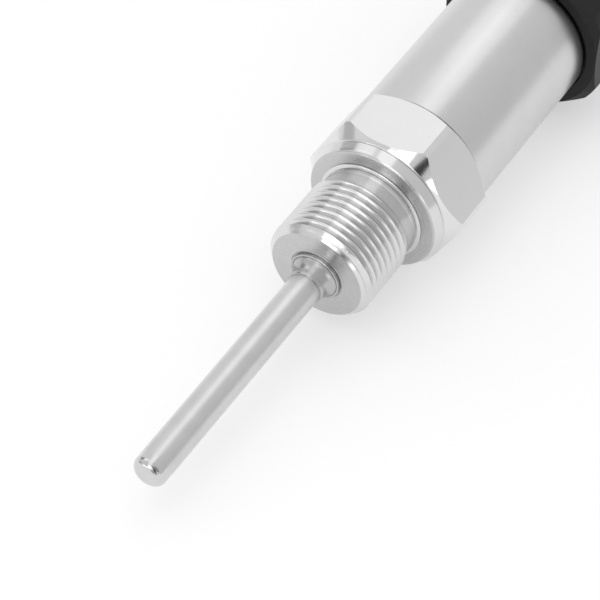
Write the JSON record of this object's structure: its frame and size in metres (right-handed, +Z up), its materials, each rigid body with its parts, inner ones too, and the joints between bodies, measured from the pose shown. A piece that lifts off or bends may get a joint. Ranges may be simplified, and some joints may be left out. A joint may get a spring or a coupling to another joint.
{
  "type": "temperature transmitter",
  "caption": "Compact temperature transmitter: thin steel probe, threaded hexagonal process fitting, round steel housing and black hexagonal cap with a cable gland.",
  "frame": {"origin": "middle of the footprint, on the surface that the transmitter lies on", "axes": "+Z up; +X runs from the probe tip to the cable gland, which lies about 4 degrees higher; +Y to the left of it"},
  "size_m": [0.154, 0.0312, 0.0346],
  "materials": {
    "stainless_turned": "bright turned and milled stainless steel",
    "stainless_satin": "satin stainless tube",
    "black_plastic": "black moulded plastic",
    "black_rubber": "black rubber",
    "grey_rubber": "grey rubber",
    "white_ceramic": "fired white ceramic",
    "amber_resin": "cured casting resin",
    "white_plastic": "natural white plastic",
    "red_insulation": "red wire insulation",
    "white_insulation": "white wire insulation",
    "board_laminate": "green solder mask on glass laminate",
    "green_plastic": "green moulded plastic",
    "component_black": "black moulded component",
    "component_tan": "tan moulded component",
    "aluminium_can": "drawn aluminium can",
    "tinned_steel": "bright tinned steel"
  },
  "bodies": {
    "transmitter": {"process_fitting": "stainless_turned", "probe_sheath": "stainless_satin", "housing_tube": "stainless_satin", "fitting_o_ring": "black_rubber", "cap_o_ring": "black_rubber", "gland_gasket": "black_rubber", "gland_seal": "grey_rubber", "end_cap": "black_plastic", "gland_body": "black_plastic", "pt100_element": "white_ceramic", "element_insulator": "white_ceramic", "sheath_seal": "amber_resin", "sensor_wire_1": "red_insulation", "sensor_wire_2": "white_insulation", "sensor_wire_3": "white_insulation", "board_holder": "white_plastic", "circuit_board": "board_laminate", "sensor_header": "white_plastic", "signal_chip": "component_black", "loop_chip": "component_black", "surge_diode": "component_black", "resistor_1": "component_black", "resistor_2": "component_black", "resistor_3": "component_black", "resistor_4": "component_black", "tantalum_capacitor_1": "component_tan", "tantalum_capacitor_2": "component_tan", "filter_capacitor": "aluminium_can", "terminal_block": "green_plastic", "terminal_clamp_1": "tinned_steel", "terminal_clamp_2": "tinned_steel", "terminal_screw_1": "tinned_steel", "terminal_screw_2": "tinned_steel"},
    "clamp_washer": {"gland_washer": "white_plastic"},
    "clamp_nut": {"gland_nut": "black_plastic"}
  },
  "joints": [
    {"name": "washer_slide", "type": "slide", "parent": "transmitter", "child": "clamp_washer", "axis": [0.9976, 0, 0.069], "range_m": [0, 0.003]},
    {"name": "nut_turn", "type": "hinge", "parent": "clamp_washer", "child": "clamp_nut", "pos_m": [0.06234, 0, 0.01823], "axis": [0.9976, 0, 0.069], "range_deg": [0, 720]}
  ],
  "couplings": [
    {"joint": "nut_turn", "follows": "washer_slide", "rad_per_m": 4188.8}
  ]
}
